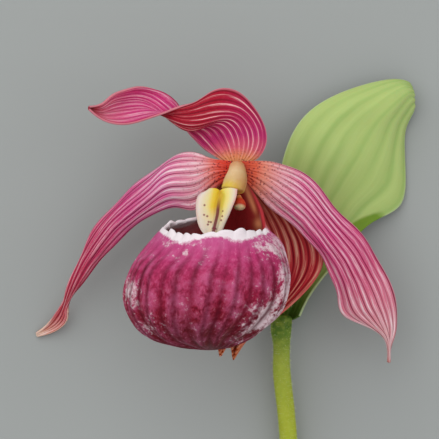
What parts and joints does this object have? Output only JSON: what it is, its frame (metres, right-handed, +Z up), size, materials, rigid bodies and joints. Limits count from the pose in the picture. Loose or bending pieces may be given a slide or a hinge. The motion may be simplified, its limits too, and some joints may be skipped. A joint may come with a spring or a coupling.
{
  "type": "cypripedium orchid",
  "caption": "Cut lady's slipper orchid lying on its back: furrowed pouch, striped swept petals, hooded sepal, leafy bract and stem.",
  "frame": {"origin": "bottom centre of the box round the whole shoot as it lies on its back on a surface", "axes": "+Y runs from the cut end of the stem towards the top of the flower, +X to the flower's right in the picture, +Z up off the surface, the way the pouch bulges"},
  "size_m": [0.1018, 0.1289, 0.0604],
  "materials": {
    "stem_skin": "yellow-green, finely hairy",
    "bract_skin": "pale green, matt, long veins",
    "ovary_skin": "dull green, ridged",
    "dorsal_skin": "crimson, satin",
    "synsepal_skin": "dark red with pale stripes, satin",
    "petal_skin": "pink with dark long stripes, satin",
    "pouch_skin": "magenta, mottled white, satin",
    "column_skin": "cream, satin",
    "staminode_skin": "off-white and yellow, glossy",
    "anther_skin": "orange-red, matt",
    "stigma_skin": "pale, moist"
  },
  "bodies": {
    "root": {"stem": "stem_skin", "bract": "bract_skin", "ovary": "ovary_skin", "dorsal_sepal": "dorsal_skin", "synsepal": "synsepal_skin", "petal_left": "petal_skin", "petal_right": "petal_skin", "lip": "pouch_skin", "column": "column_skin", "staminode": "staminode_skin", "anther_left": "anther_skin", "anther_right": "anther_skin", "stigma": "stigma_skin"}
  },
  "joints": []
}
